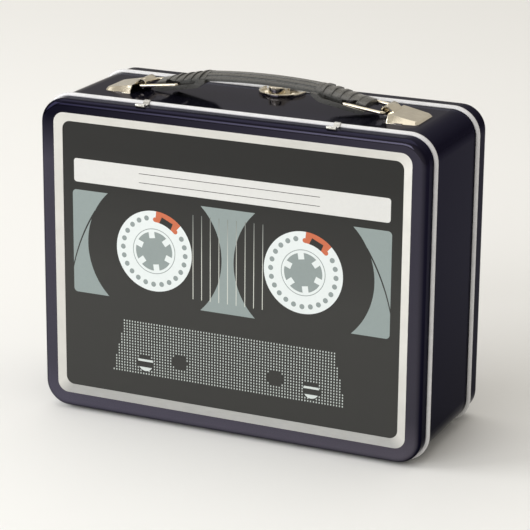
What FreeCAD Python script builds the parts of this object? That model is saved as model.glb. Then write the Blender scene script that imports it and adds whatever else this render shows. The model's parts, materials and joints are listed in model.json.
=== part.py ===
import FreeCAD, Part
import math
import os

V = FreeCAD.Vector

# Tin lunch box standing on its two rolled rims. All sizes are in millimetres.
# Origin: on the floor, under the centre of the case. +X is to the right of the
# printed front, +Y runs from the front to the back, +Z is up.

# ---- driving dimensions: the case ----
WIDTH = 220.0             # over the rolled rims
HEIGHT = 173.7            # over the rolled rims
DEPTH = 89.4              # front face to back face
SHEET = 0.5               # tinplate
RIM_PROUD = 1.6           # height of the rolled rims over the walls
RIM_WIDTH = 3.0
RIM_ROUND = 1.45
OUTLINE_RADIUS = 13.4     # corners of the walls, seen from the front
FRONT_ROUND = 3.5         # edge between front face and walls
BACK_ROUND = 4.5
FRONT_RIM_Y = -33.6
REAR_RIM_Y = 28.0
SEAM_GAP = 1.0            # open gap in front of the rear rim

# ---- driving dimensions: the recessed front ----
PANEL_LEFT = -95.5
PANEL_RIGHT = 96.0
PANEL_BOTTOM = 14.7
PANEL_TOP = 160.8
PANEL_RADIUS = 4.5
FRAME_WIDTH = 4.6         # sloping bright frame round the panel
FRAME_RADIUS = 6.0
RECESS = 1.3              # front face to panel face
FRAME_LIP = 0.15          # inner edge of the frame, proud of the panel

# ---- driving dimensions: the carrying handle ----
HARDWARE_X = 3.0          # handle and clips sit a little right of centre
HANDLE_Y = -3.4
GRIP_HALF_WIDTH = 8.5
GRIP_CROWN_Z = 187.0
GRIP_CURVE = 363.0        # radius of the arched grip, seen from the front
GRIP_REACH = 33.0         # centre to where the ribbed ends start
END_REACH = 59.0          # centre to the tips of the ribbed ends
RIB_COUNT = 5
RIB_FIRST = 34.2
RIB_PITCH = 4.7
RIB_WIDTH = 1.5
RIB_RISE = 0.6
STRAP_FALL = 0.2245       # slope of the ribbed strap's crown
WIRE_RADIUS = 0.95
RING_HALF_WIDTH = 9.0
RING_PIVOT = 69.0         # centre of the handle to the ring's pivot
RING_PIVOT_Z = 175.6
RING_TIP = 47.0
RING_TIP_Z = 178.4
RING_TIP_IN = 6.2         # how near the bent tips come to the handle's centre
RING_BEND = 2.0
LIFT = 12.0               # how far the handle rises

# ---- driving dimensions: the stamped end caps ----
CAP_SHEET = 0.7
CAP_INNER = 72.4
CAP_BASE = ((72.4, 14.0), (87.0, 12.0), (88.5, 10.0))
CAP_ROOF = ((72.4, 11.0), (86.6, 9.8), (87.9, 8.6))
CAP_ROOF_Z = 176.2
CAP_ROOF_SLOPE = 0.18
KNUCKLE_U = 69.3
KNUCKLE_Z = 176.3         # the wire rests low in the curled knuckle
KNUCKLE_RADIUS = 2.65
KNUCKLE_SHEET = 0.6
KNUCKLE_HALF_WIDTH = 6.0
TAB_START = 76.0
TAB_LENGTH = 5.0
BACKING_SHEET = 1.0

# ---- driving dimensions: the bottom hinges ----
HINGE_X = 60.0
HINGE_WIDTH = 24.0
HINGE_RADIUS = 1.3
HINGE_Z = 1.4
HINGE_LEAF = 10.5
HINGE_LEAF_SHEET = 0.5
HINGE_PIN_RADIUS = 0.6
RUNNING = 0.05            # radial clearance of the pins
KNUCKLE_GAP = 0.3

# ---- driving dimensions: the latch ----
LATCH_X = 1.7
LATCH_Y = 21.2            # centre of the round latch plate
LATCH_RADIUS = 12.6
LATCH_PLATE = 0.6
LATCH_LIP = 1.1
HOUSING_HALF = 4.6
HOUSING_NOSE_Y = 14.2       # centre of the round nose
HOUSING_NOSE_Z = 177.1      # top of the round nose
HOUSING_TOP_Z = 176.0       # top of the ears behind it
HOUSING_SHEET = 0.7
LEVER_PIVOT_Y = 18.9
LEVER_PIVOT_Z = 174.6
LEVER_KNUCKLE = 1.3
LEVER_HALF = 5.6
LEVER_SHEET = 0.6
LEVER_END_Y = 31.8
RIVET_X = 7.7
RIVET_Y = 17.6

# ---- driving dimensions: the seam clips ----
CLIP_X = 53.3
CLIP_HALF = 1.7             # the strap over the rim
CLIP_CURL_HALF = 2.6        # the wider curl at its front
CLIP_SHEET = 0.45
CLIP_CURL_Y = -41.9
CLIP_CURL_RADIUS = 0.95

# ---- worked-out places ----
FRONT_Y = -DEPTH / 2
BACK_Y = DEPTH / 2
TOP_Z = HEIGHT - RIM_PROUD
BOTTOM_Z = RIM_PROUD
WALL_X = WIDTH / 2 - RIM_PROUD
PANEL_Y = FRONT_Y + RECESS
PANEL_BACK_Y = PANEL_Y + SHEET
LID_FRONT_Y = REAR_RIM_Y - RIM_WIDTH / 2
BAND_BACK_Y = LID_FRONT_Y - SEAM_GAP
HINGE_Y = LID_FRONT_Y - SEAM_GAP / 2
INNER_TOP_Z = TOP_Z - SHEET


def rounded_wire(x0, x1, z0, z1, radius, y):
    """Rounded rectangle in the plane at y."""
    k = radius * (1 - math.sqrt(0.5))
    corners = (
        (V(x0, y, z0 + radius), V(x0 + k, y, z0 + k), V(x0 + radius, y, z0)),
        (V(x1 - radius, y, z0), V(x1 - k, y, z0 + k), V(x1, y, z0 + radius)),
        (V(x1, y, z1 - radius), V(x1 - k, y, z1 - k), V(x1 - radius, y, z1)),
        (V(x0 + radius, y, z1), V(x0 + k, y, z1 - k), V(x0, y, z1 - radius)),
    )
    edges = []
    for i, (start, middle, end) in enumerate(corners):
        edges.append(Part.Arc(start, middle, end).toShape())
        edges.append(Part.LineSegment(end, corners[(i + 1) % 4][0]).toShape())
    return Part.Wire(edges)


def outline_wire(inset, y):
    """Outline of the case's walls, moved in by inset."""
    return rounded_wire(-WALL_X + inset, WALL_X - inset, BOTTOM_Z + inset,
                        TOP_Z - inset, OUTLINE_RADIUS - inset, y)


def panel_wire(grow, y):
    """Outline of the printed panel, moved out by grow."""
    radius = PANEL_RADIUS + grow * (FRAME_RADIUS - PANEL_RADIUS) / FRAME_WIDTH
    return rounded_wire(PANEL_LEFT - grow, PANEL_RIGHT + grow, PANEL_BOTTOM - grow,
                        PANEL_TOP + grow, radius, y)


def along_y(wire, y1):
    """Prism from a flat wire to the plane at y1."""
    y0 = wire.Vertexes[0].Point.y
    return Part.Face(wire).extrude(V(0, y1 - y0, 0))


def block(x0, x1, y0, y1, z0, z1):
    return Part.makeBox(x1 - x0, y1 - y0, z1 - z0, V(x0, y0, z0))


def polygon(points):
    return Part.makePolygon(list(points) + [points[0]])


def side_profile(points, v0, v1):
    """Extrude (u, z) points of the handle's side view from v0 to v1.

    u runs outwards from the handle's centre, v backwards from its middle line.
    """
    wire = polygon([V(HARDWARE_X + u, HANDLE_Y + v0, z) for u, z in points])
    return Part.Face(wire).extrude(V(0, v1 - v0, 0))


def fuse_all(shapes):
    joined = shapes[0].multiFuse(list(shapes[1:])).removeSplitter()
    assert len(joined.Solids) == 1
    return joined


def to_left(shape):
    """Mirror a right-hand hardware piece to the left."""
    return shape.mirror(V(HARDWARE_X, 0, 0), V(1, 0, 0))


def rounded_block(inset, y0, y1, round_y, radius):
    """Prism of the outline with the edge at round_y rounded."""
    solid = along_y(outline_wire(inset, y0), y1)
    edges = [e for e in solid.Edges
             if all(abs(v.Point.y - round_y) < 1e-6 for v in e.Vertexes)]
    return solid.makeFillet(radius, edges)


def hinge_notches(y0, y1, top_z):
    """Clearance cut for the two bottom hinges."""
    half = HINGE_WIDTH / 2 + 0.5
    return Part.makeCompound([block(x - half, x + half, y0, y1, -1.0, top_z)
                              for x in (-HINGE_X, HINGE_X)])


# ---- the case ----

def front_shell():
    """Shallow front tray with a stepped recess for the printed panel."""
    outer = rounded_block(0, FRONT_Y, FRONT_RIM_Y, FRONT_Y, FRONT_ROUND)
    hollow = rounded_block(SHEET, FRONT_Y + SHEET, FRONT_RIM_Y, FRONT_Y + SHEET,
                           FRONT_ROUND - SHEET)
    floor_y = PANEL_BACK_Y + SHEET
    tray = along_y(panel_wire(FRAME_WIDTH + SHEET, FRONT_Y), floor_y)
    pocket = along_y(panel_wire(FRAME_WIDTH, FRONT_Y - 1), PANEL_BACK_Y)
    return outer.cut(hollow.cut(tray)).cut(pocket)


def frame_trim():
    """Bright frame that slopes from the front face down to the panel."""
    ring = along_y(panel_wire(FRAME_WIDTH, FRONT_Y), PANEL_BACK_Y)
    slope = Part.makeLoft([panel_wire(FRAME_WIDTH, FRONT_Y),
                           panel_wire(0, PANEL_Y - FRAME_LIP)], True, True)
    middle = along_y(panel_wire(0, FRONT_Y - 1), PANEL_BACK_Y + 1)
    return ring.cut(slope).cut(middle)


def print_panel():
    return along_y(panel_wire(0, PANEL_Y), PANEL_BACK_Y)


def wall_ring(inset, thick, y0, y1):
    outer = along_y(outline_wire(inset, y0), y1)
    return outer.cut(along_y(outline_wire(inset + thick, y0), y1))


def body_band():
    """Middle wall of the case, with the slots and holes of its hardware."""
    band = wall_ring(0, SHEET, FRONT_RIM_Y, BAND_BACK_Y)
    cuts = [hinge_notches(BAND_BACK_Y - 1.2, BAND_BACK_Y + 1, 4.0)]
    for slot in cap_slots():
        cuts += [slot, to_left(slot)]
    cuts += [rivet_hole(x, RIVET_Y) for x in rivet_places()]
    return band.cut(Part.makeCompound(cuts))


def nesting_lip():
    """Inner lip of the band that the lid closes over."""
    joined = wall_ring(SHEET, SHEET, BAND_BACK_Y - 4.0, BAND_BACK_Y)
    free = wall_ring(SHEET + 0.4, SHEET, BAND_BACK_Y - 1.0, BAND_BACK_Y + 4.4)
    lip = joined.fuse(free).removeSplitter()
    return lip.cut(hinge_notches(BAND_BACK_Y - 1.2, BAND_BACK_Y + 5.0, 3.4))


def rim_trim(y_centre):
    """Half-round rolled rim that stands proud of the walls."""
    y0 = y_centre - RIM_WIDTH / 2
    y1 = y_centre + RIM_WIDTH / 2
    solid = along_y(outline_wire(-RIM_PROUD, y0), y1)
    edges = [e for e in solid.Edges
             if abs(e.Vertexes[0].Point.y - e.Vertexes[-1].Point.y) < 1e-6]
    return solid.makeFillet(RIM_ROUND, edges).cut(along_y(outline_wire(0, y0), y1))


def rear_rim_trim():
    return rim_trim(REAR_RIM_Y).cut(hinge_notches(LID_FRONT_Y - 1, LID_FRONT_Y + 4, 4.0))


def lid_shell():
    """Hinged rear half of the case."""
    outer = rounded_block(0, LID_FRONT_Y, BACK_Y, BACK_Y, BACK_ROUND)
    hollow = rounded_block(SHEET, LID_FRONT_Y, BACK_Y - SHEET, BACK_Y - SHEET,
                           BACK_ROUND - SHEET)
    shell = outer.cut(hollow)
    shell = shell.cut(hinge_notches(LID_FRONT_Y - 1, LID_FRONT_Y + 1.3, 4.0))
    return shell.cut(Part.makeCompound(
        [rivet_hole(x, keeper_rivet_y()) for x in keeper_rivet_places()]))


# ---- the hinges ----

def hinge_barrel(x0, x1):
    axis = V(1, 0, 0)
    centre = V(x0, HINGE_Y, HINGE_Z)
    barrel = Part.makeCylinder(HINGE_RADIUS, x1 - x0, centre, axis)
    return barrel, Part.makeCylinder(HINGE_PIN_RADIUS + RUNNING, x1 - x0, centre, axis)


def hinge_leaf(x, fixed):
    """One leaf with its rolled knuckles; the fixed leaf has the two outer ones."""
    half = HINGE_WIDTH / 2
    middle = half / 2
    leaf_z = BOTTOM_Z - HINGE_LEAF_SHEET
    if fixed:
        spans = ((x - half, x - middle - KNUCKLE_GAP), (x + middle + KNUCKLE_GAP, x + half))
        plate = block(x - half, x + half, HINGE_Y - HINGE_LEAF, HINGE_Y - HINGE_RADIUS - 0.3,
                      leaf_z, BOTTOM_Z)
        arm = (HINGE_Y - HINGE_RADIUS - 0.3, HINGE_Y)
    else:
        spans = ((x - middle, x + middle),)
        plate = block(x - half, x + half, HINGE_Y + HINGE_RADIUS + 0.3, HINGE_Y + HINGE_LEAF,
                      leaf_z, BOTTOM_Z)
        arm = (HINGE_Y, HINGE_Y + HINGE_RADIUS + 0.3)
    pieces = [plate]
    bores = []
    for x0, x1 in spans:
        barrel, bore = hinge_barrel(x0, x1)
        pieces += [barrel, block(x0, x1, arm[0], arm[1], leaf_z, BOTTOM_Z)]
        bores.append(bore)
    return fuse_all(pieces).cut(Part.makeCompound(bores))


def hinge_pin(x):
    length = HINGE_WIDTH + 0.8
    return Part.makeCylinder(HINGE_PIN_RADIUS, length,
                             V(x - length / 2, HINGE_Y, HINGE_Z), V(1, 0, 0))


# ---- the handle ----

def arch_wire(u, half_width, low_z, edge_z, crown_z):
    """Section across the handle: flat below, arched on top."""
    x = HARDWARE_X + u
    y0 = HANDLE_Y - half_width
    y1 = HANDLE_Y + half_width
    edges = [
        Part.LineSegment(V(x, y0, low_z), V(x, y0, edge_z)),
        Part.Arc(V(x, y0, edge_z), V(x, HANDLE_Y, crown_z), V(x, y1, edge_z)),
        Part.LineSegment(V(x, y1, edge_z), V(x, y1, low_z)),
        Part.LineSegment(V(x, y1, low_z), V(x, y0, low_z)),
    ]
    return Part.Wire([e.toShape() for e in edges])


def strap_low(u):
    return 180.5 - 0.15 * (u - 44.0)


def strap_crown(u):
    return 185.1 - STRAP_FALL * (u - 34.0)


def grip_bar():
    """Arched middle of the handle, with long grooves, turned about a far axis."""
    centre_z = GRIP_CROWN_Z - GRIP_CURVE
    angle = math.degrees(math.asin(GRIP_REACH / GRIP_CURVE))
    centre = V(HARDWARE_X, HANDLE_Y, centre_z)
    axis = V(0, 1, 0)
    half = GRIP_HALF_WIDTH
    y0 = HANDLE_Y - half
    y1 = HANDLE_Y + half
    low_z = GRIP_CROWN_Z - 3.6
    edge_z = GRIP_CROWN_Z - 2.5
    under_z = GRIP_CROWN_Z - 4.9
    x = HARDWARE_X
    edges = [
        Part.LineSegment(V(x, y0, low_z), V(x, y0, edge_z)),
        Part.Arc(V(x, y0, edge_z), V(x, HANDLE_Y, GRIP_CROWN_Z), V(x, y1, edge_z)),
        Part.LineSegment(V(x, y1, edge_z), V(x, y1, low_z)),
        Part.Arc(V(x, y1, low_z), V(x, HANDLE_Y, under_z), V(x, y0, low_z)),
    ]
    section = Part.Face(Part.Wire([e.toShape() for e in edges]))
    section.rotate(centre, axis, -angle)
    bar = section.revolve(centre, axis, 2 * angle)
    grooves = []
    for v, depth in ((-6.1, 1.35), (-2.1, 0.15), (2.1, 0.15), (6.1, 1.35)):
        ring = Part.makeCircle(0.7, V(x, HANDLE_Y + v, GRIP_CROWN_Z - depth + 0.15), V(1, 0, 0))
        cutter = Part.Face(Part.Wire([ring]))
        cutter.rotate(centre, axis, -angle - 1)
        grooves.append(cutter.revolve(centre, axis, 2 * angle + 2))
    return bar.cut(Part.makeCompound(grooves))


def handle_end():
    """Right-hand end of the handle: ribbed strap, slotted core and side skirts."""
    start = GRIP_REACH - 2.0
    strap = Part.makeLoft([
        arch_wire(start, 8.5, strap_low(start), strap_crown(start) - 2.3, strap_crown(start)),
        arch_wire(END_REACH, 8.5, strap_low(END_REACH), strap_crown(END_REACH) - 1.0,
                  strap_crown(END_REACH))], True, True)
    pieces = [strap]
    for i in range(RIB_COUNT):
        u = RIB_FIRST + i * RIB_PITCH
        rise = RIB_RISE if i < RIB_COUNT - 1 else RIB_RISE / 2
        wire = arch_wire(u, 8.8, strap_low(u) + 0.2, strap_crown(u) - 1.3,
                         strap_crown(u) + rise)
        pieces.append(Part.Face(wire).extrude(V(RIB_WIDTH, 0, -STRAP_FALL * RIB_WIDTH)))
    core = side_profile(((31.0, 183.0), (31.0, 180.8), (35.0, 178.6), (57.5, 175.4),
                         (END_REACH, 176.3), (END_REACH, strap_low(END_REACH) + 0.5),
                         (44.0, 181.1)), -7.6, 7.6)
    gusset = side_profile(((25.5, 183.2), (28.5, 182.1), (31.0, 180.8), (33.5, 179.2),
                           (35.0, 178.6), (36.5, 178.3), (36.5, 182.5), (25.5, 184.0)),
                          -8.6, 8.6)
    web = ((30.0, 181.4), (32.0, 180.0), (33.5, 178.9), (35.0, 178.3), (37.0, 177.9),
           (37.0, 180.0), (33.5, 182.4), (30.0, 183.0))
    skirt = ((33.5, 178.9), (35.0, 178.3), (56.0, 174.4), (58.5, 174.7), (59.4, 175.8),
             (59.4, 176.1), (37.0, 180.2), (33.5, 181.0))
    pieces += [core, gusset]
    for side in (-1, 1):
        pieces.append(side_profile(web, side * 8.0, side * 11.3))
        pieces.append(side_profile(skirt, side * 10.3, side * 11.3))
    end = fuse_all(pieces)
    clear = WIRE_RADIUS + 0.5
    travel_end = RING_PIVOT - ring_length() * math.cos(ring_angle() + ring_swing())
    slot = side_profile(((RING_TIP - clear, RING_TIP_Z - clear),
                         (travel_end + clear, RING_TIP_Z - clear),
                         (travel_end + clear, RING_TIP_Z + clear + 0.4),
                         (RING_TIP - clear, RING_TIP_Z + clear + 0.4)), -9.0, 9.0)
    return end.cut(slot)


def handle_grip():
    end = handle_end()
    return fuse_all([grip_bar(), end, to_left(end)])


def ring_length():
    return math.hypot(RING_PIVOT - RING_TIP, RING_TIP_Z - RING_PIVOT_Z)


def ring_angle():
    """Slope of the ring at rest."""
    return math.atan2(RING_TIP_Z - RING_PIVOT_Z, RING_PIVOT - RING_TIP)


def ring_swing():
    """How far the ring turns when the handle is fully up."""
    return math.asin((RING_TIP_Z - RING_PIVOT_Z + LIFT) / ring_length()) - ring_angle()


def handle_ring():
    """Bent wire: two legs, a bar through the cap's knuckle, and bent-in tips."""
    slope = (RING_TIP_Z - RING_PIVOT_Z) / (RING_PIVOT - RING_TIP)

    def place(u, v):
        return V(HARDWARE_X + u, HANDLE_Y + v, RING_PIVOT_Z + (RING_PIVOT - u) * slope)

    corners = [place(RING_TIP, -RING_TIP_IN), place(RING_TIP, -RING_HALF_WIDTH),
               place(RING_PIVOT, -RING_HALF_WIDTH), place(RING_PIVOT, RING_HALF_WIDTH),
               place(RING_TIP, RING_HALF_WIDTH), place(RING_TIP, RING_TIP_IN)]
    edges = []
    at = corners[0]
    for i in range(1, len(corners) - 1):
        before = (corners[i - 1] - corners[i]).normalize()
        after = (corners[i + 1] - corners[i]).normalize()
        bend = RING_BEND if 1 < i < len(corners) - 2 else 1.4
        start = corners[i] + before * bend
        end = corners[i] + after * bend
        middle = corners[i] + (before + after) * (bend * (1 - math.sqrt(0.5)))
        edges.append(Part.LineSegment(at, start).toShape())
        edges.append(Part.Arc(start, middle, end).toShape())
        at = end
    edges.append(Part.LineSegment(at, corners[-1]).toShape())
    section = Part.Wire([Part.makeCircle(WIRE_RADIUS, corners[0], V(0, 1, 0))])
    return Part.Wire(edges).makePipeShell([section], True, False)


def cap_hull(shrink, base_z, roof_drop, inner_u):
    """Faceted body of an end cap, as a loft between its base and its roof."""
    def ring(points, height):
        half = [(inner_u if i == 0 else u - shrink, v - shrink)
                for i, (u, v) in enumerate(points)]
        loop = [(u, -v) for u, v in half] + list(reversed(half))
        return polygon([V(HARDWARE_X + u, HANDLE_Y + v, height(u)) for u, v in loop])

    def roof(u):
        return CAP_ROOF_Z - roof_drop - CAP_ROOF_SLOPE * (u - CAP_INNER)

    return Part.makeLoft([ring(CAP_BASE, lambda u: base_z), ring(CAP_ROOF, roof)], True, True)


def handle_cap():
    """Stamped nickel cap with a curled knuckle that holds the ring."""
    cap = cap_hull(0.0, TOP_Z, 0.0, CAP_INNER)
    cap = cap.cut(cap_hull(CAP_SHEET, TOP_Z - 0.01, CAP_SHEET, CAP_INNER - 1.0))
    width = 2 * KNUCKLE_HALF_WIDTH
    centre = V(HARDWARE_X + KNUCKLE_U, HANDLE_Y - KNUCKLE_HALF_WIDTH, KNUCKLE_Z)
    curl = Part.makeCylinder(KNUCKLE_RADIUS, width, centre, V(0, 1, 0))
    curl = curl.cut(Part.makeCylinder(KNUCKLE_RADIUS - KNUCKLE_SHEET, width, centre, V(0, 1, 0)))
    mouth = side_profile(((KNUCKLE_U, KNUCKLE_Z), (KNUCKLE_U + 4.5, KNUCKLE_Z + 0.8),
                          (KNUCKLE_U + 4.5, KNUCKLE_Z - 4.0),
                          (KNUCKLE_U + 1.2, KNUCKLE_Z - 4.0)), -8.0, 8.0)
    tangent = math.radians(60)
    inner = KNUCKLE_RADIUS - KNUCKLE_SHEET
    top_u = KNUCKLE_U + KNUCKLE_RADIUS * math.cos(tangent)
    top_z = KNUCKLE_Z + KNUCKLE_RADIUS * math.sin(tangent)
    low_u = KNUCKLE_U + inner * math.cos(tangent)
    low_z = KNUCKLE_Z + inner * math.sin(tangent)
    neck = side_profile(((top_u, top_z), (CAP_INNER + 1.2, CAP_ROOF_Z - 0.15),
                         (CAP_INNER + 0.9, CAP_ROOF_Z - 0.8), (low_u, low_z)),
                        -KNUCKLE_HALF_WIDTH, KNUCKLE_HALF_WIDTH)
    pieces = [cap, curl.cut(mouth), neck]
    for side in (-1, 1):
        pieces += cap_tab(side)
    return fuse_all(pieces)


def cap_tab(side):
    """Tab through the case wall, bent over under the backing plate."""
    x0 = HARDWARE_X + TAB_START
    x1 = x0 + TAB_LENGTH
    outer_y = HANDLE_Y + side * 13.3
    inner_y = HANDLE_Y + side * 12.6
    bent_y = HANDLE_Y + side * 10.4
    low_z = INNER_TOP_Z - BACKING_SHEET - 0.5
    ys = sorted((outer_y, inner_y))
    bent = sorted((outer_y, bent_y))
    return [block(x0, x1, ys[0], ys[1], low_z, TOP_Z + 0.5),
            block(x0, x1, bent[0], bent[1], low_z, low_z + 0.5)]


def cap_slots():
    """Slots for the two tabs of the right-hand cap."""
    x0 = HARDWARE_X + TAB_START - 0.3
    x1 = x0 + TAB_LENGTH + 0.6
    slots = []
    for side in (-1, 1):
        ys = sorted((HANDLE_Y + side * 13.6, HANDLE_Y + side * 12.3))
        slots.append(block(x0, x1, ys[0], ys[1], INNER_TOP_Z - 3, TOP_Z + 1))
    return slots


def cap_backing():
    """Stiffening plate inside the case under an end cap."""
    plate = block(HARDWARE_X + CAP_INNER + 0.5, HARDWARE_X + 88.0, HANDLE_Y - 15.5,
                  HANDLE_Y + 15.5, INNER_TOP_Z - BACKING_SHEET, INNER_TOP_Z)
    return plate.cut(Part.makeCompound(cap_slots()))


# ---- the latch ----

def rivet_places():
    return (LATCH_X - RIVET_X, LATCH_X + RIVET_X)


def keeper_rivet_places():
    return (LATCH_X - 4.6, LATCH_X + 4.6)


def keeper_rivet_y():
    return REAR_RIM_Y + RIM_WIDTH / 2 + 2.4


def rivet_hole(x, y):
    return Part.makeCylinder(1.05, 12.0, V(x, y, INNER_TOP_Z - 6.0))


def rivet(x, y, seat_z, low_z, head_radius):
    """Domed rivet from its seat down to its closing head."""
    head = Part.makeSphere(head_radius * 1.3, V(x, y, seat_z - head_radius * 0.83))
    head = head.common(Part.makeCylinder(head_radius, 4.0, V(x, y, seat_z)))
    shank = Part.makeCylinder(1.0, seat_z - low_z + 0.1, V(x, y, low_z))
    closing = Part.makeCylinder(head_radius, 0.6, V(x, y, low_z - 0.6))
    return fuse_all([head, shank, closing])


def latch_base():
    """Round plate with a turned-up edge, cut straight at the seam."""
    centre = V(LATCH_X, LATCH_Y, TOP_Z)
    plate = Part.makeCylinder(LATCH_RADIUS, LATCH_PLATE + LATCH_LIP, centre)
    dish = Part.makeCylinder(LATCH_RADIUS - 0.8, LATCH_LIP, centre + V(0, 0, LATCH_PLATE))
    rim_edge = [e for e in plate.Edges if abs(e.BoundBox.ZMin - e.BoundBox.ZMax) < 1e-6
                and e.BoundBox.ZMin > TOP_Z + 0.1]
    plate = plate.makeFillet(0.35, rim_edge).cut(dish)
    holes = [rivet_hole(x, RIVET_Y) for x in rivet_places()]
    past_seam = block(LATCH_X - 15, LATCH_X + 15, BAND_BACK_Y - 0.2, LATCH_Y + 15,
                      TOP_Z - 1, TOP_Z + 5)
    return plate.cut(Part.makeCompound(holes + [past_seam]))


def latch_housing():
    """Round-nosed cover whose side ears carry the lever's pin."""
    base_z = TOP_Z + LATCH_PLATE

    def stadium(inset, low_z, ear_z, nose_z, rear_y):
        nose = Part.makeCylinder(HOUSING_HALF - inset, nose_z - low_z,
                                 V(LATCH_X, HOUSING_NOSE_Y, low_z))
        front = nose.common(block(LATCH_X - 9, LATCH_X + 9, HOUSING_NOSE_Y - 9,
                                  HOUSING_NOSE_Y, low_z, nose_z))
        ears = side_box(HOUSING_HALF - inset, low_z, ear_z, rear_y)
        return front.fuse(ears).removeSplitter()

    def side_box(half, low_z, high_z, rear_y):
        return block(LATCH_X - half, LATCH_X + half, HOUSING_NOSE_Y, rear_y, low_z, high_z)

    outer = stadium(0.0, base_z, HOUSING_TOP_Z, HOUSING_NOSE_Z, LEVER_PIVOT_Y + 1.5)
    top = [e for e in outer.Edges if abs(e.BoundBox.ZMin - HOUSING_NOSE_Z) < 1e-6]
    outer = outer.makeFillet(0.6, top)
    inner = stadium(HOUSING_SHEET, base_z - 0.01, HOUSING_TOP_Z - HOUSING_SHEET,
                    HOUSING_NOSE_Z - HOUSING_SHEET, LEVER_PIVOT_Y + 3)
    open_top = block(LATCH_X - HOUSING_HALF + HOUSING_SHEET,
                     LATCH_X + HOUSING_HALF - HOUSING_SHEET,
                     LEVER_PIVOT_Y - 2.0, LEVER_PIVOT_Y + 3, base_z, HOUSING_TOP_Z + 1)
    bore = Part.makeCylinder(HINGE_PIN_RADIUS + RUNNING, 14.0,
                             V(LATCH_X - 7, LEVER_PIVOT_Y, LEVER_PIVOT_Z), V(1, 0, 0))
    return outer.cut(Part.makeCompound([inner, open_top])).cut(bore)


def latch_pin():
    return Part.makeCylinder(HINGE_PIN_RADIUS, 2 * HOUSING_HALF + 1.0,
                             V(LATCH_X - HOUSING_HALF - 0.5, LEVER_PIVOT_Y, LEVER_PIVOT_Z),
                             V(1, 0, 0))


def latch_lever():
    """Sprung tongue that reaches over the rear rim, with a curled thumb edge."""
    x0 = LATCH_X - HOUSING_HALF + HOUSING_SHEET + 0.4
    width = 2 * (LATCH_X - x0)
    pivot = V(x0, LEVER_PIVOT_Y, LEVER_PIVOT_Z)
    knuckle = Part.makeCylinder(LEVER_KNUCKLE, width, pivot, V(1, 0, 0))
    low_z = LEVER_PIVOT_Z - 0.1
    high_z = low_z + LEVER_SHEET
    neck = block(x0, x0 + width, LEVER_PIVOT_Y, LEVER_PIVOT_Y + 3.0, low_z, high_z)
    tongue = block(LATCH_X - LEVER_HALF, LATCH_X + LEVER_HALF, LEVER_PIVOT_Y + 2.5,
                   LEVER_END_Y, low_z, high_z)
    corners = [e for e in tongue.Edges if abs(e.Vertexes[0].Point.z - e.Vertexes[-1].Point.z) > 0.1]
    tongue = tongue.makeFillet(1.6, corners)
    swage = Part.makeCylinder(3.0, LEVER_END_Y - LEVER_PIVOT_Y - 5.0,
                              V(LATCH_X, LEVER_PIVOT_Y + 3.6, high_z - 1.9), V(0, 1, 0))
    swage = swage.common(block(LATCH_X - 4, LATCH_X + 4, LEVER_PIVOT_Y + 3, LEVER_END_Y,
                               high_z - 0.2, high_z + 3))
    thumb_radius = 1.1
    thumb = Part.makeCylinder(thumb_radius, 2 * LEVER_HALF - 2.4,
                              V(LATCH_X - LEVER_HALF + 1.2, LEVER_END_Y, high_z + 0.5),
                              V(1, 0, 0))
    lever = fuse_all([knuckle, neck, tongue, swage, thumb])
    bore = Part.makeCylinder(HINGE_PIN_RADIUS + RUNNING, width, pivot, V(1, 0, 0))
    return lever.cut(bore)


def latch_keeper():
    """Catch plate on the lid with a low bump under the lever's tongue."""
    y0 = REAR_RIM_Y + RIM_WIDTH / 2 + 0.1
    plate = block(LATCH_X - 7.5, LATCH_X + 7.5, y0, y0 + 6.4, TOP_Z, TOP_Z + 0.5)
    corners = [e for e in plate.Edges if abs(e.Vertexes[0].Point.z - e.Vertexes[-1].Point.z) > 0.1]
    plate = plate.makeFillet(1.2, corners)
    bump = Part.makeSphere(2.6, V(LATCH_X, y0 + 2.6, TOP_Z - 0.8))
    bump = bump.common(block(LATCH_X - 4, LATCH_X + 4, y0, y0 + 6, TOP_Z + 0.2, TOP_Z + 3))
    holes = [rivet_hole(x, keeper_rivet_y()) for x in keeper_rivet_places()]
    return plate.fuse(bump).cut(Part.makeCompound(holes)).removeSplitter()


def latch_backing():
    """Stiffening plate inside the case under the latch."""
    plate = block(LATCH_X - 11, LATCH_X + 11, RIVET_Y - 3.4, RIVET_Y + 3.4,
                  INNER_TOP_Z - BACKING_SHEET, INNER_TOP_Z)
    return plate.cut(Part.makeCompound([rivet_hole(x, RIVET_Y) for x in rivet_places()]))


def latch_rivets():
    low_z = INNER_TOP_Z - BACKING_SHEET
    return Part.makeCompound([rivet(x, RIVET_Y, TOP_Z + LATCH_PLATE, low_z, 1.9)
                              for x in rivet_places()])


def keeper_rivets():
    return Part.makeCompound([rivet(x, keeper_rivet_y(), TOP_Z + 0.5, INNER_TOP_Z, 1.4)
                              for x in keeper_rivet_places()])


# ---- the seam clips ----

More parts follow.
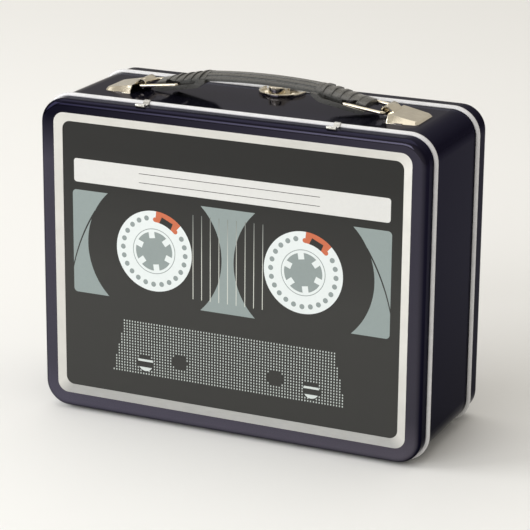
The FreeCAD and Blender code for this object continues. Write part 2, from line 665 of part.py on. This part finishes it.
def seam_clip(x):
    """Nickel strap over the front rim, curled at its front end."""
    y0 = FRONT_RIM_Y - RIM_WIDTH / 2
    y1 = FRONT_RIM_Y + RIM_WIDTH / 2
    top = HEIGHT + 0.05
    outer = ((CLIP_CURL_Y, TOP_Z), (CLIP_CURL_Y, TOP_Z + CLIP_SHEET),
             (y0 - 0.9, TOP_Z + CLIP_SHEET), (y0 + 0.1, top - 0.2), (y0 + 0.8, top + CLIP_SHEET),
             (y1 - 0.8, top + CLIP_SHEET), (y1 + CLIP_SHEET, top - 0.4),
             (y1 + CLIP_SHEET + 0.1, TOP_Z + CLIP_SHEET), (y1 + 2.6, TOP_Z + CLIP_SHEET),
             (y1 + 2.6, TOP_Z))
    wire = polygon([V(x - CLIP_HALF, y, z) for y, z in outer])
    strap = Part.Face(wire).extrude(V(2 * CLIP_HALF, 0, 0))
    rim = along_y(outline_wire(-RIM_PROUD - 0.02, y0 - 0.02), y1 + 0.02)
    edges = [e for e in rim.Edges
             if abs(e.Vertexes[0].Point.y - e.Vertexes[-1].Point.y) < 1e-6]
    strap = strap.cut(rim.makeFillet(RIM_ROUND, edges))
    curl = Part.makeCylinder(CLIP_CURL_RADIUS, 2 * CLIP_CURL_HALF,
                             V(x - CLIP_CURL_HALF, CLIP_CURL_Y, TOP_Z + CLIP_CURL_RADIUS),
                             V(1, 0, 0))
    return strap.fuse(curl).removeSplitter()


def build():
    right_cap = handle_cap()
    right_backing = cap_backing()
    right_ring = handle_ring()
    nodes = {
        "front_shell": front_shell(),
        "frame_trim": frame_trim(),
        "print_panel": print_panel(),
        "front_rim_trim": rim_trim(FRONT_RIM_Y),
        "body_band": body_band(),
        "nesting_lip": nesting_lip(),
        "rear_rim_trim": rear_rim_trim(),
        "lid_shell": lid_shell(),
        "handle_grip": handle_grip(),
        "handle_ring_right": right_ring,
        "handle_ring_left": to_left(right_ring),
        "handle_cap_right": right_cap,
        "handle_cap_left": to_left(right_cap),
        "cap_backing_right": right_backing,
        "cap_backing_left": to_left(right_backing),
        "latch_base": latch_base(),
        "latch_housing": latch_housing(),
        "latch_pin": latch_pin(),
        "latch_lever": latch_lever(),
        "latch_keeper": latch_keeper(),
        "latch_backing": latch_backing(),
        "latch_rivets": latch_rivets(),
        "keeper_rivets": keeper_rivets(),
    }
    for side, sign in (("left", -1), ("right", 1)):
        nodes["hinge_case_leaf_" + side] = hinge_leaf(sign * HINGE_X, True)
        nodes["hinge_lid_leaf_" + side] = hinge_leaf(sign * HINGE_X, False)
        nodes["hinge_pin_" + side] = hinge_pin(sign * HINGE_X)
        nodes["seam_clip_" + side] = seam_clip(HARDWARE_X + sign * CLIP_X)
    return nodes


os.makedirs("parts", exist_ok=True)
for node, shape in build().items():
    assert shape.isValid(), node
    print(node, len(shape.Solids), round(shape.Volume, 1))
    shape.exportStep("parts/" + node + ".step")
print("ring swing degrees", math.degrees(ring_swing()), "per metre", ring_swing() / LIFT * 1000)
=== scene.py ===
import json
import math
import bmesh
import bpy
from mathutils import Matrix, Vector
from mathutils.geometry import delaunay_2d_cdt


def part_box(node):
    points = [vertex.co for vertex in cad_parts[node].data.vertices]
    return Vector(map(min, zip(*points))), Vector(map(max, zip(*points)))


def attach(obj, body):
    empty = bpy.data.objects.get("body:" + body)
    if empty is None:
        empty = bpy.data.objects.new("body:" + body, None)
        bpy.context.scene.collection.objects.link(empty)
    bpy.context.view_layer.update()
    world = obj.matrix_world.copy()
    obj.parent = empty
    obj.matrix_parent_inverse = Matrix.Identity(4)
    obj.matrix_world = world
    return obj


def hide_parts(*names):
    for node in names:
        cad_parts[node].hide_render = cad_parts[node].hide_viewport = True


# Looks of the tin lunch box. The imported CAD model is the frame; metres, +Z up,
# the printed front faces -Y. Artwork sizes are in millimetres from the panel's centre.
MM = 0.001

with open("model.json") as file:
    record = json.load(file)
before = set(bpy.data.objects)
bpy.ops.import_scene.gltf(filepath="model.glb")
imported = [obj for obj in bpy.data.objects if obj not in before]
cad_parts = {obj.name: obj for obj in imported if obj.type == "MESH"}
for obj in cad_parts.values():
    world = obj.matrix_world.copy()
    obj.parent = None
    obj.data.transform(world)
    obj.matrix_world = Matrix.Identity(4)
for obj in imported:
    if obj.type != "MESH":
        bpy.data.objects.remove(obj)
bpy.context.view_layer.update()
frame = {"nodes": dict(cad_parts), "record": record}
case_low, case_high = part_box("front_rim_trim")
panel_low, panel_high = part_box("print_panel")


# ---- camera, floor and light ----

CAMERA_AT = (0.4855, -1.0725, 0.4529)
CAMERA_YAW = 24.274                        # degrees, as the next two
CAMERA_PITCH = 17.476
CAMERA_ROLL = 0.498
CAMERA_LENS = 157.36                       # millimetres, as the sensor
SENSOR_WIDTH = 36.0
VIEW_REACH = 50.0

FLOOR_REACH = 8.0

WORLD_COLOUR = (1.0, 0.955, 0.87)
WORLD_STRENGTH = 0.56

# name, place, target, size, watts, colour
SOFTBOXES = (
    ("softbox_top", (-0.3, 0.35, 2.4), (0, 0, 0), (2.6, 2.6), 18.0, (1.0, 0.985, 0.96)),
    ("softbox_left", (-2.3, -1.2, 1.2), (0, 0, 0.1), (1.6, 1.6), 46.0, (0.98, 0.99, 1.0)),
    ("softbox_front", (-0.9, -2.8, 1.5), (0, 0, 0.05), (2.2, 1.4), 42.0, (0.97, 0.985, 1.0)),
    ("softbox_small", (-1.3, -0.9, 1.75), (-0.07, 0, 0.17), (0.3, 0.4), 0.6, (1.0, 1.0, 1.0)),
)


def add_camera():
    data = bpy.data.cameras.new("camera")
    data.sensor_width = SENSOR_WIDTH
    data.lens = CAMERA_LENS
    data.clip_end = VIEW_REACH
    camera = bpy.data.objects.new("camera", data)
    turn = (Matrix.Rotation(math.radians(CAMERA_YAW), 4, "Z")
            @ Matrix.Rotation(math.radians(90 - CAMERA_PITCH), 4, "X")
            @ Matrix.Rotation(math.radians(CAMERA_ROLL), 4, "Z"))
    camera.matrix_world = Matrix.Translation(CAMERA_AT) @ turn
    bpy.context.scene.collection.objects.link(camera)
    bpy.context.scene.camera = camera


def add_softbox(name, at, target, size, power, colour):
    data = bpy.data.lights.new(name, "AREA")
    data.shape = "RECTANGLE"
    data.size = size[0]
    data.size_y = size[1]
    data.energy = power
    data.color = colour
    light = bpy.data.objects.new(name, data)
    light.location = at
    light.rotation_euler = (Vector(target) - Vector(at)).to_track_quat("-Z", "Y").to_euler()
    bpy.context.scene.collection.objects.link(light)


def add_world(colour, strength):
    world = bpy.data.worlds.new("studio")
    world.use_nodes = True
    back = world.node_tree.nodes["Background"]
    back.inputs["Color"].default_value = (*colour, 1.0)
    back.inputs["Strength"].default_value = strength
    bpy.context.scene.world = world


def add_floor():
    finish = Finish("pale_floor", roughness=0.6)
    base = linear(238, 238, 237)
    finish.colour(finish.noise(600.0), shade(base, 0.985), base)
    data = bpy.data.meshes.new("floor")
    corners = [(x * FLOOR_REACH, y * FLOOR_REACH, 0)
               for x, y in ((-1, -1), (1, -1), (1, 1), (-1, 1))]
    data.from_pydata(corners, [], [(0, 1, 2, 3)])
    data.materials.append(finish.material)
    floor = bpy.data.objects.new("floor", data)
    bpy.context.scene.collection.objects.link(floor)


# ---- materials ----

# Most of a noise texture's values lie between these two.
NOISE_LOW = 0.3
NOISE_HIGH = 0.7


def linear(red, green, blue):
    """Screen colour, 0 to 255, as linear light."""
    def channel(value):
        c = value / 255.0
        return c / 12.92 if c <= 0.04045 else ((c + 0.055) / 1.055) ** 2.4
    return channel(red), channel(green), channel(blue)


def shade(colour, factor):
    return tuple(c * factor for c in colour)


class Finish:
    """A node material around one Principled shader, with noise in object space."""

    def __init__(self, name, metallic=0.0, roughness=0.4, coat=0.0, coat_roughness=0.1):
        self.material = bpy.data.materials.new(name)
        self.material.use_nodes = True
        self.tree = self.material.node_tree
        self.shader = self.tree.nodes["Principled BSDF"]
        self.shader.inputs["Metallic"].default_value = metallic
        self.shader.inputs["Roughness"].default_value = roughness
        self.shader.inputs["Coat Weight"].default_value = coat
        self.shader.inputs["Coat Roughness"].default_value = coat_roughness
        self.coordinates = self.tree.nodes.new("ShaderNodeTexCoord")
        self.place = self.coordinates.outputs["Object"]

    def link(self, source, target):
        self.tree.links.new(source, target)

    def stretched(self, scale):
        """Object coordinates scaled by (x, y, z)."""
        node = self.tree.nodes.new("ShaderNodeMapping")
        node.inputs["Scale"].default_value = scale
        self.link(self.place, node.inputs["Vector"])
        return node.outputs["Vector"]

    def noise(self, size_mm, detail=3.0, stretch=(1.0, 1.0, 1.0)):
        node = self.tree.nodes.new("ShaderNodeTexNoise")
        node.inputs["Scale"].default_value = 1.0 / (size_mm * MM)
        node.inputs["Detail"].default_value = detail
        self.link(self.stretched(stretch), node.inputs["Vector"])
        return node.outputs["Fac"]

    def ramp(self, factor, stops):
        """Colour ramp; stops are (place, colour)."""
        node = self.tree.nodes.new("ShaderNodeValToRGB")
        points = node.color_ramp.elements
        while len(points) < len(stops):
            points.new(0.5)
        for point, (place, colour) in zip(points, stops):
            point.position = place
            point.color = (*colour, 1.0)
        self.link(factor, node.inputs["Fac"])
        return node.outputs["Color"]

    def rising(self, vector, axis, start, end):
        """0 where the vector's part along an axis is at start, 1 where it is at end."""
        split = self.tree.nodes.new("ShaderNodeSeparateXYZ")
        self.link(vector, split.inputs["Vector"])
        node = self.tree.nodes.new("ShaderNodeMapRange")
        node.inputs["From Min"].default_value = start
        node.inputs["From Max"].default_value = end
        self.link(split.outputs[axis], node.inputs["Value"])
        return node.outputs["Result"]

    def facing(self, axis, start, end):
        """Rises with how far the surface faces along one of the object's own axes."""
        return self.rising(self.coordinates.outputs["Normal"], axis, start, end)

    def blend(self, factor, first, second):
        """Mix two colour outputs."""
        node = self.tree.nodes.new("ShaderNodeMix")
        node.data_type = "RGBA"
        self.link(factor, node.inputs["Factor"])
        self.link(first, node.inputs["A"])
        self.link(second, node.inputs["B"])
        return node.outputs["Result"]

    def clouded(self, colour, size_mm, contrast):
        """A colour that varies a little from place to place."""
        return self.between(self.noise(size_mm), shade(colour, 1 - contrast),
                            shade(colour, 1 + contrast))

    def between(self, factor, low, high):
        """Colour between two ends as a noise goes over its usual values."""
        return self.ramp(factor, ((NOISE_LOW, low), (NOISE_HIGH, high)))

    def base(self, colour):
        """Use a colour output as the base colour."""
        self.link(colour, self.shader.inputs["Base Color"])

    def colour(self, factor, low, high):
        self.base(self.between(factor, low, high))

    def roughness(self, factor, low, high):
        node = self.tree.nodes.new("ShaderNodeMapRange")
        node.inputs["From Min"].default_value = NOISE_LOW
        node.inputs["From Max"].default_value = NOISE_HIGH
        node.inputs["To Min"].default_value = low
        node.inputs["To Max"].default_value = high
        self.link(factor, node.inputs["Value"])
        self.link(node.outputs["Result"], self.shader.inputs["Roughness"])

    def bump(self, height, depth_mm):
        node = self.tree.nodes.new("ShaderNodeBump")
        node.inputs["Distance"].default_value = depth_mm * MM
        node.inputs["Strength"].default_value = 1.0
        self.link(height, node.inputs["Height"])
        self.link(node.outputs["Normal"], self.shader.inputs["Normal"])


def navy_paint():
    """Glossy enamel: deep blue, with painted reflection and shade: paler on the top and on the
    front, darker low on the sides.
    """
    finish = Finish("navy_paint", metallic=0.85, roughness=0.1)
    finish.shader.inputs["IOR"].default_value = 1.1
    finish.shader.inputs["Specular Tint"].default_value = (0.48, 0.48, 0.5, 1.0)
    height = finish.rising(finish.place, "Z", case_low.z, case_high.z)
    # Painted shade: the sides darken towards the bottom, standing in for the reflected shaded
    # floor.
    side = finish.ramp(height, ((0.0, linear(12, 11, 27)), (0.5, linear(23, 22, 37)),
                                (0.9, linear(26, 24, 39))))
    # Painted reflection: faces that look upwards are paler.
    top = finish.blend(finish.facing("Z", 0.5, 0.95), side,
                       finish.clouded(linear(46, 45, 61), 40.0, 0.03))
    # Painted reflection and shade on the front: paler towards the bottom, and dark along the top
    # edge on the left.
    left = finish.ramp(height, ((0.0, linear(83, 80, 95)), (0.15, linear(69, 67, 78)),
                                (0.8, linear(64, 62, 73)), (0.94, linear(14, 13, 26))))
    right = finish.ramp(height, ((0.0, linear(90, 86, 97)), (0.15, linear(60, 58, 67)),
                                 (0.8, linear(56, 54, 65)), (0.94, linear(54, 52, 63))))
    # Painted light: across the front the colour goes from the left ramp to the right ramp, and the
    # left is mostly lighter.
    front = finish.blend(finish.rising(finish.place, "X", case_low.x, case_high.x), left, right)
    finish.base(finish.blend(finish.facing("Y", -0.6, -0.97), top, front))
    finish.roughness(finish.noise(6.0), 0.07, 0.13)
    return finish.material


def white_rim():
    finish = Finish("white_rim", roughness=0.25, coat=0.4)
    base = linear(214, 214, 216)
    finish.colour(finish.noise(9.0), shade(base, 0.9), base)
    finish.roughness(finish.noise(3.0), 0.2, 0.32)
    finish.bump(finish.noise(2.5), 0.012)
    return finish.material


def frame_metal():
    """Bright brushed strip; its lower run, which faces up, is painted greyest as shade."""
    finish = Finish("frame_metal", metallic=1.0, roughness=0.3)
    bright = finish.clouded(linear(216, 215, 211), 14.0, 0.04)
    streaks = finish.noise(0.9, 3.0, (0.25, 1.0, 1.0))
    # Painted shade: upward faces take this grey instead of the bright colour.
    painted_shade_grey = linear(114, 117, 120)
    grey = finish.between(streaks, shade(painted_shade_grey, 0.84), shade(painted_shade_grey, 1.1))
    finish.base(finish.blend(finish.facing("Z", 0.05, 0.4), bright, grey))
    return finish.material


def nickel():
    finish = Finish("nickel", metallic=1.0, roughness=0.2)
    base = linear(226, 217, 198)
    finish.colour(finish.noise(5.0, 4.0), shade(base, 0.86), base)
    finish.roughness(finish.noise(2.0, 4.0), 0.12, 0.22)
    finish.bump(finish.noise(1.1, 4.0, (1.0, 6.0, 1.0)), 0.012)
    return finish.material


def clip_metal():
    """Seam clip: a pale strap over the rim and a greyer curl in front of it."""
    finish = Finish("clip_metal", metallic=1.0, roughness=0.22)
    curl = finish.clouded(linear(168, 166, 160), 1.5, 0.25)
    strap = finish.clouded(linear(238, 238, 238), 4.0, 0.03)
    finish.base(finish.blend(finish.facing("Z", 0.6, 0.95), curl, strap))
    finish.roughness(finish.noise(2.0), 0.18, 0.3)
    return finish.material


def black_plastic():
    """Satin moulding whose upward faces are paler as a painted highlight."""
    finish = Finish("black_plastic", roughness=0.3, coat=0.35, coat_roughness=0.12)
    grain = finish.clouded(linear(50, 50, 48), 8.0, 0.2)
    # Painted highlight: upward faces take this paler colour.
    painted_top_highlight = finish.clouded(linear(80, 79, 75), 5.0, 0.12)
    finish.base(finish.blend(finish.facing("Z", 0.88, 0.98), grain, painted_top_highlight))
    finish.roughness(finish.noise(1.4, 4.0), 0.22, 0.4)
    finish.bump(finish.noise(0.7, 4.0), 0.012)
    return finish.material


def tin_inside():
    finish = Finish("tin_inside", metallic=1.0, roughness=0.35)
    base = linear(205, 203, 198)
    finish.colour(finish.noise(7.0, 5.0), shade(base, 0.82), base)
    finish.roughness(finish.noise(3.0, 4.0), 0.28, 0.46)
    finish.bump(finish.noise(2.0, 3.0, (1.0, 1.0, 8.0)), 0.01)
    return finish.material


INK_SHINE = 0.32


def satin_ink(name):
    """Slightly uneven printed surface, still without its colour."""
    finish = Finish("ink_" + name, roughness=0.42)
    finish.shader.inputs["Specular IOR Level"].default_value = INK_SHINE
    finish.bump(finish.noise(0.6, 3.0), 0.006)
    return finish


def ink(name, base):
    """One printed colour on the front sheet."""
    finish = satin_ink(name)
    finish.colour(finish.noise(1.3, 4.0), shade(base, 0.985), shade(base, 1.015))
    finish.roughness(finish.noise(2.5), 0.38, 0.48)
    return finish.material


def fading_ink(name, top, bottom, high_mm, low_mm):
    """Printed colour that turns lighter downwards between two heights on the panel."""
    finish = satin_ink(name)
    centre = (panel_low.z + panel_high.z) / 2
    height = finish.rising(finish.place, "Z", centre + low_mm * MM, centre + high_mm * MM)
    finish.base(finish.ramp(height, ((0.0, bottom), (FADE_START, bottom), (1.0, top))))
    return finish.material


# ---- the printed front: a tape cassette, in millimetres and degrees ----

PANEL_ROUND = 4.5
LABEL = (-89.2, 89.2, 40.8, 53.5)          # left, right, low, high
LABEL_ROUND = 1.6
DARK_FADE = 60.0                           # half the height over which the ground pales
FADE_START = 0.45                          # share of a fade that keeps its lower colour
RULES = (44.6, 49.4)                       # two writing lines across the label
RULE_REACH = 51.0
RULE_HALF = 0.16
WINDOW = (-90.2, 90.2, -20.0, 36.5)
WINDOW_ROUND = 2.2
REEL_X = 42.4
REEL_Z = 8.45
TAPE_Z = 8.35
TAPE_RADIUS = 39.0
REEL_RADIUS = 21.9
DOT_RING = 18.1
DOT_RADIUS = 1.4
DOT_FIRST = 103.7
DOT_STEP = 15.0
DOT_COUNT = 20
THIN_RING = (11.95, 12.35)
HUB_RADIUS = 10.6
TOOTH_ANGLE = 98.4
TOOTH_COUNT = 6
TOOTH_INNER = 7.1
TOOTH_HALF = 1.65
TOOTH_ROOT = 0.3                           # how far a tooth reaches past the hub
CLIP_ANGLE = 66.0
CLIP_INNER = 16.0
CLIP_SPREAD = 20.5                         # half the angle that the clip spans
LUG_AT = (17.3, 21.8)                      # distance from the reel's centre, and angle
LUG_RADIUS = 1.25
NOTCH = ((15.2, -3.6), (19.1, -3.5), (19.3, 3.5), (15.2, 3.6))
HAIR = 0.05                                # overlap that leaves no seam between inks
STRIPE_COUNT = 9
STRIPE_PITCH = 4.95
STRIPE_HALF = 0.2
STRIPE_SPAN = (-14.6, 31.1)
LOOP_START = (77.6, 25.2)
LOOP_END = (91.0, -9.0)
LOOP_RADIUS = 100.0
LOOP_OUTER = 0.25                          # outer edge beyond the loop's radius
LOOP_INNER = (0.65, 0.3)                   # inner edge inside it, at the start and at the end
LOOP_TRIM = 0.6                            # degrees left off at the start
LOOP_STEPS = 24
GRID_FIRST_X = -60.35
GRID_PITCH_X = 1.611
GRID_TOP = -32.15
GRID_PITCH_Z = 1.567
GRID_ROWS = 19
GRID_COLUMNS = (-4, 79)                    # counted from the top row's first tick
GRID_HALF_TOP = 60.5
GRID_SPREAD = 0.23                         # how much wider each millimetre down
TICK = (0.33, 0.5)                         # half width and half height
HOLE_X = 27.7
HOLE_Z = -50.9
HOLE_RADIUS = 4.3
SCREW_X = 47.8
SCREW_Z = -54.3
SCREW_RADIUS = 4.5
SCREW_BAR = (0.75, 2.0)                    # light bar above the screw's middle
SCREW_FOOT = -2.4                          # top of the light part below it


def arc(x, z, radius, start, end, steps):
    return [(x + radius * math.cos(math.radians(start + (end - start) * i / steps)),
             z + radius * math.sin(math.radians(start + (end - start) * i / steps)))
            for i in range(steps + 1)]


def circle(x, z, radius, steps):
    return arc(x, z, radius, 0, 360, steps)[:-1]


def rounded(left, right, low, high, radius, steps=6):
    corners = ((right - radius, low + radius, -90), (right - radius, high - radius, 0),
               (left + radius, high - radius, 90), (left + radius, low + radius, 180))
    return [p for x, z, start in corners for p in arc(x, z, radius, start, start + 90, steps)]


def turned(points, x, z, angle):
    """Points given as (outwards, sideways) turned to an angle about (x, z)."""
    c = math.cos(math.radians(angle))
    s = math.sin(math.radians(angle))
    return [(x + u * c - v * s, z + u * s + v * c) for u, v in points]


def chord(x, z, radius, low, high, steps=10):
    """The slice of a disc between two heights measured from its centre."""
    start = math.degrees(math.asin(low / radius))
    end = math.degrees(math.asin(high / radius))
    return arc(x, z, radius, start, end, steps) + arc(x, z, radius, 180 - end, 180 - start, steps)


def clip_shapes(x, z):
    """The clip that holds the tape: a band with a lug at each end and a notch."""
    band = (arc(0, 0, REEL_RADIUS + HAIR, -CLIP_SPREAD, CLIP_SPREAD, 14)
            + arc(0, 0, CLIP_INNER, CLIP_SPREAD + 1, -CLIP_SPREAD - 1, 12))
    shapes = [("orange", turned(band, x, z, CLIP_ANGLE))]
    for side in (-1, 1):
        lug_at = turned([(LUG_AT[0], 0.0)], 0, 0, side * LUG_AT[1])[0]
        lug = circle(*lug_at, LUG_RADIUS, 16)
        shapes.append(("orange", turned(lug, x, z, CLIP_ANGLE)))
    shapes.append(("dark", turned(NOTCH, x, z, CLIP_ANGLE)))
    shapes.append(("white", circle(x, z, CLIP_INNER - HAIR, 64)))
    return shapes


def reel_shapes(x):
    """Spool with its clip, holes, hub and teeth."""
    z = REEL_Z
    shapes = [("white", circle(x, z, REEL_RADIUS, 96))] + clip_shapes(x, z)
    for i in range(DOT_COUNT):
        at = turned([(DOT_RING, 0.0)], x, z, DOT_FIRST + i * DOT_STEP)[0]
        shapes.append(("grey", circle(*at, DOT_RADIUS, 20)))
    shapes += [("grey", circle(x, z, THIN_RING[1], 72)), ("white", circle(x, z, THIN_RING[0], 72)),
               ("grey", circle(x, z, HUB_RADIUS, 64))]
    for i in range(TOOTH_COUNT):
        tooth = [(TOOTH_INNER, -TOOTH_HALF), (HUB_RADIUS + TOOTH_ROOT, -TOOTH_HALF),
                 (HUB_RADIUS + TOOTH_ROOT, TOOTH_HALF), (TOOTH_INNER, TOOTH_HALF)]
        shapes.append(("white", turned(tooth, x, z, TOOTH_ANGLE + i * 360 / TOOTH_COUNT)))
    return shapes


def loop_shape(side):
    """Thin dark line where the tape leaves the spool, thicker at its start."""
    (x0, z0), (x1, z1) = LOOP_START, LOOP_END
    half = math.hypot(x1 - x0, z1 - z0) / 2
    toward = math.atan2(z1 - z0, x1 - x0)
    depth = math.sqrt(LOOP_RADIUS ** 2 - half ** 2)
    cx = (x0 + x1) / 2 + depth * math.sin(toward)
    cz = (z0 + z1) / 2 - depth * math.cos(toward)
    start = math.degrees(math.atan2(z0 - cz, x0 - cx)) + LOOP_TRIM
    end = math.degrees(math.atan2(z1 - cz, x1 - cx))
    points = arc(cx, cz, LOOP_RADIUS + LOOP_OUTER, start, end, LOOP_STEPS)
    thick, thin = LOOP_INNER
    for i in range(LOOP_STEPS, -1, -1):
        part = i / LOOP_STEPS
        radius = LOOP_RADIUS - thick + (thick - thin) * part
        angle = math.radians(start + (end - start) * part)
        points.append((cx + radius * math.cos(angle), cz + radius * math.sin(angle)))
    return "dark", [(side * x, z) for x, z in points]


def grid_shapes():
    """Rows of small ticks in a trapezoid, with two round holes and two screws left free."""
    shapes = []
    free = [(side * HOLE_X, HOLE_Z, HOLE_RADIUS) for side in (-1, 1)]
    free += [(side * SCREW_X, SCREW_Z, SCREW_RADIUS) for side in (-1, 1)]
    half_w, half_h = TICK
    for row in range(GRID_ROWS):
        z = GRID_TOP - row * GRID_PITCH_Z
        reach = GRID_HALF_TOP + GRID_SPREAD * (GRID_TOP - z)
        for column in range(*GRID_COLUMNS):
            x = GRID_FIRST_X + column * GRID_PITCH_X
            blocked = any(math.hypot(x - hx, z - hz) < r + half_w for hx, hz, r in free)
            if abs(x) <= reach and not blocked:
                tick = (arc(x, z + half_h - half_w, half_w, 0, 180, 4)
                        + arc(x, z - half_h + half_w, half_w, 180, 360, 4))
                shapes.append(("tick", tick))
    for side in (-1, 1):
        x = side * SCREW_X
        shapes.append(("dark", circle(x, SCREW_Z, SCREW_RADIUS, 40)))
        shapes.append(("pale", chord(x, SCREW_Z, SCREW_RADIUS, *SCREW_BAR)))
        shapes.append(("pale", chord(x, SCREW_Z, SCREW_RADIUS, -SCREW_RADIUS, SCREW_FOOT)))
    return shapes


def bar(left, right, low, high):
    return [(left, low), (right, low), (right, high), (left, high)]


def artwork():
    """Every printed shape in order; later ones lie over earlier ones."""
    shapes = [("window", rounded(*WINDOW, WINDOW_ROUND))]
    for side in (-1, 1):
        shapes.append(("dark", circle(side * REEL_X, TAPE_Z, TAPE_RADIUS, 128)))
        shapes.append(loop_shape(side))
    for i in range(STRIPE_COUNT):
        x = (i - (STRIPE_COUNT - 1) / 2) * STRIPE_PITCH
        shapes.append(("stripe", bar(x - STRIPE_HALF, x + STRIPE_HALF, *STRIPE_SPAN)))
    shapes.append(("label", rounded(*LABEL, LABEL_ROUND)))
    for z in RULES:
        shapes.append(("dark", bar(-RULE_REACH, RULE_REACH, z - RULE_HALF, z + RULE_HALF)))
    for side in (-1, 1):
        shapes += reel_shapes(side * REEL_X)
    return shapes + grid_shapes()


def divided_face(layers):
    """Triangles of the flat artwork, each with the name of the ink that lies uppermost."""
    points, rings = [], []
    for _, shape in layers:
        area = sum(a[0] * b[1] - b[0] * a[1] for a, b in zip(shape, shape[1:] + shape[:1]))
        ring = [Vector(p) for p in (shape if area > 0 else shape[::-1])]
        rings.append(list(range(len(points), len(points) + len(ring))))
        points += ring
    flat, _, faces, _, _, sources = delaunay_2d_cdt(points, [], rings, 0, 1e-5)
    named = [(face, layers[max(source)][0]) for face, source in zip(faces, sources) if source]
    return flat, named


def close_back(mesh, depth_y):
    """Turn the divided face into a closed sheet that reaches back to a depth."""
    rim = [e for e in mesh.edges if len(e.link_faces) == 1]
    skirt = bmesh.ops.extrude_edge_only(mesh, edges=rim)
    for part in skirt["geom"]:
        if isinstance(part, bmesh.types.BMVert):
            part.co.y = depth_y
    bmesh.ops.contextual_create(mesh, geom=[e for e in mesh.edges if len(e.link_faces) == 1])
    bmesh.ops.delete(mesh, geom=[v for v in mesh.verts if not v.link_faces], context="VERTS")
    bmesh.ops.recalc_face_normals(mesh, faces=mesh.faces)


def printed_panel(inks):
    """The front sheet, its face divided along the artwork so that each ink is geometry."""
    middle = (panel_low + panel_high) / 2
    half_x = (panel_high.x - panel_low.x) / 2 / MM
    half_z = (panel_high.z - panel_low.z) / 2 / MM
    outline = rounded(-half_x, half_x, -half_z, half_z, PANEL_ROUND, 10)
    names = list(inks)
    flat, faces = divided_face([("dark", outline)] + artwork())
    mesh = bmesh.new()
    front = [mesh.verts.new((middle.x + p.x * MM, panel_low.y, middle.z + p.y * MM)) for p in flat]
    for face, name in faces:
        made = mesh.faces.new([front[i] for i in face])
        made.material_index = names.index(name)
    mesh.normal_update()
    for face in mesh.faces:
        if face.normal.y > 0:
            face.normal_flip()
    close_back(mesh, panel_high.y)
    data = bpy.data.meshes.new("printed_panel")
    mesh.to_mesh(data)
    mesh.free()
    for name in names:
        data.materials.append(inks[name])
    piece = bpy.data.objects.new("printed_panel", data)
    bpy.context.scene.collection.objects.link(piece)
    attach(piece, "case")
    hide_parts("print_panel")


# ---- finishing the CAD nodes ----

WELD_REACH = 0.002                         # millimetres
SHARP_ANGLE = 32.0                         # degrees; sharper edges than this are rounded

# Radius of the rounded edges, in millimetres.
EDGE_ROUND = {
    "handle_grip": 0.35, "handle_cap_left": 0.35, "handle_cap_right": 0.35,
    "latch_housing": 0.15, "latch_lever": 0.12, "latch_keeper": 0.12, "latch_base": 0.12,
    "seam_clip_left": 0.12, "seam_clip_right": 0.12,
}


def soften(node, width_mm):
    """Weld a CAD node and round its edges, with modifiers only."""
    weld = node.modifiers.new("weld", "WELD")
    weld.merge_threshold = WELD_REACH * MM
    bevel = node.modifiers.new("bevel", "BEVEL")
    bevel.width = width_mm * MM
    bevel.segments = 2
    bevel.limit_method = "ANGLE"
    bevel.angle_limit = math.radians(SHARP_ANGLE)
    bevel.harden_normals = True


def paint(node, material):
    for slot in node.material_slots:
        slot.material = material


def finish_nodes():
    makers = {"navy_paint": navy_paint, "white_rim": white_rim, "frame_metal": frame_metal,
              "nickel": nickel, "black_plastic": black_plastic, "tin_inside": tin_inside}
    made = {slot: maker() for slot, maker in makers.items()}
    clips = clip_metal()
    for row in frame["record"]["subparts"]:
        node = frame["nodes"][row["node"]]
        if row["material_slot"] in made:
            paint(node, made[row["material_slot"]])
        if row["node"].startswith("seam_clip"):
            paint(node, clips)
        if row["node"] in EDGE_ROUND:
            soften(node, EDGE_ROUND[row["node"]])


def print_inks():
    """Every colour of the print, by the name that the artwork uses."""
    plain = {
        "window": (134, 145, 144), "label": (205, 205, 203), "white": (212, 218, 218),
        "grey": (133, 143, 142), "orange": (186, 100, 68), "tick": (180, 187, 184),
        "pale": (195, 202, 200),
    }
    low, high = STRIPE_SPAN
    made = {"dark": fading_ink("dark", linear(20, 20, 18), linear(44, 44, 42),
                               DARK_FADE, -DARK_FADE)}
    made.update({name: ink(name, linear(*colour)) for name, colour in plain.items()})
    made["stripe"] = fading_ink("stripe", linear(116, 120, 117), linear(197, 199, 192),
                                high, low)
    return made


finish_nodes()
printed_panel(print_inks())
add_floor()
add_camera()
add_world(WORLD_COLOUR, WORLD_STRENGTH)
for softbox in SOFTBOXES:
    add_softbox(*softbox)
bpy.context.scene.view_settings.view_transform = "Standard"
